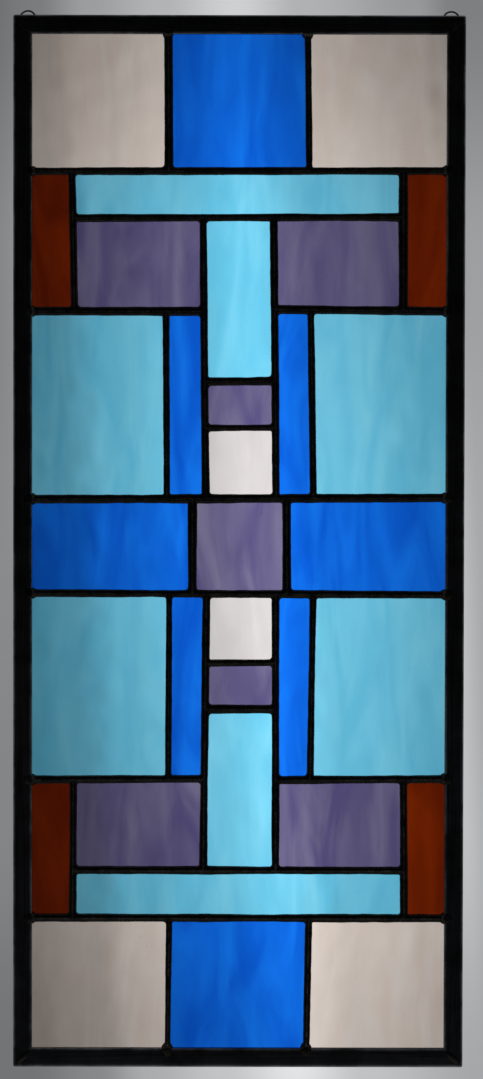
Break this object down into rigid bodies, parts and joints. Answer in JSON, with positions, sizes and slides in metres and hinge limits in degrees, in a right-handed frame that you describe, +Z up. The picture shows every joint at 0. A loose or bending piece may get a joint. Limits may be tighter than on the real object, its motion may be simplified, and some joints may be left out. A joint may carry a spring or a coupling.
{
  "type": "stained glass window panel",
  "caption": "Framed stained glass panel of coloured rectangles in dark solder seams and a zinc frame, with wire loops for hanging in a window.",
  "frame": {"origin": "midway between the two wire loops, where their crowns bear on the hooks they hang from", "axes": "+Z up, +X to the right as seen from the front, -Y towards the viewer, so the loops are at the back"},
  "size_m": [0.2286, 0.0076, 0.5362],
  "materials": {
    "clear_glass": "smooth, clear with a warm grey tint, slightly wavy, with seeds",
    "blue_glass": "smooth, deep cobalt blue, slightly wavy",
    "turquoise_glass": "smooth, pale turquoise with faint streaks, slightly wavy",
    "purple_glass": "smooth, grey purple with streaks, slightly wavy",
    "rust_glass": "smooth, dark rust red, slightly wavy",
    "solder": "round solder beads with a black patina, satin",
    "came": "rolled zinc with a black patina, satin to matt",
    "loop_wire": "tinned wire and solder with a black patina"
  },
  "bodies": {
    "root": {"glass_blue_top": "blue_glass", "glass_turquoise_bar_top": "turquoise_glass", "glass_turquoise_column_top": "turquoise_glass", "glass_purple_small_upper": "purple_glass", "glass_clear_small_upper": "clear_glass", "glass_clear_top_left": "clear_glass", "glass_rust_top_left": "rust_glass", "glass_purple_top_left": "purple_glass", "glass_blue_strip_upper_left": "blue_glass", "glass_turquoise_upper_left": "turquoise_glass", "glass_clear_top_right": "clear_glass", "glass_rust_top_right": "rust_glass", "glass_purple_top_right": "purple_glass", "glass_blue_strip_upper_right": "blue_glass", "glass_turquoise_upper_right": "turquoise_glass", "glass_blue_bottom": "blue_glass", "glass_turquoise_bar_bottom": "turquoise_glass", "glass_turquoise_column_bottom": "turquoise_glass", "glass_purple_small_lower": "purple_glass", "glass_clear_small_lower": "clear_glass", "glass_clear_bottom_left": "clear_glass", "glass_rust_bottom_left": "rust_glass", "glass_purple_bottom_left": "purple_glass", "glass_blue_strip_lower_left": "blue_glass", "glass_turquoise_lower_left": "turquoise_glass", "glass_clear_bottom_right": "clear_glass", "glass_rust_bottom_right": "rust_glass", "glass_purple_bottom_right": "purple_glass", "glass_blue_strip_lower_right": "blue_glass", "glass_turquoise_lower_right": "turquoise_glass", "glass_blue_middle_left": "blue_glass", "glass_purple_middle": "purple_glass", "glass_blue_middle_right": "blue_glass", "solder_seams": "solder", "frame_top": "came", "frame_bottom": "came", "frame_left": "came", "frame_right": "came", "hanging_loop_left": "loop_wire", "hanging_loop_right": "loop_wire"}
  },
  "joints": []
}
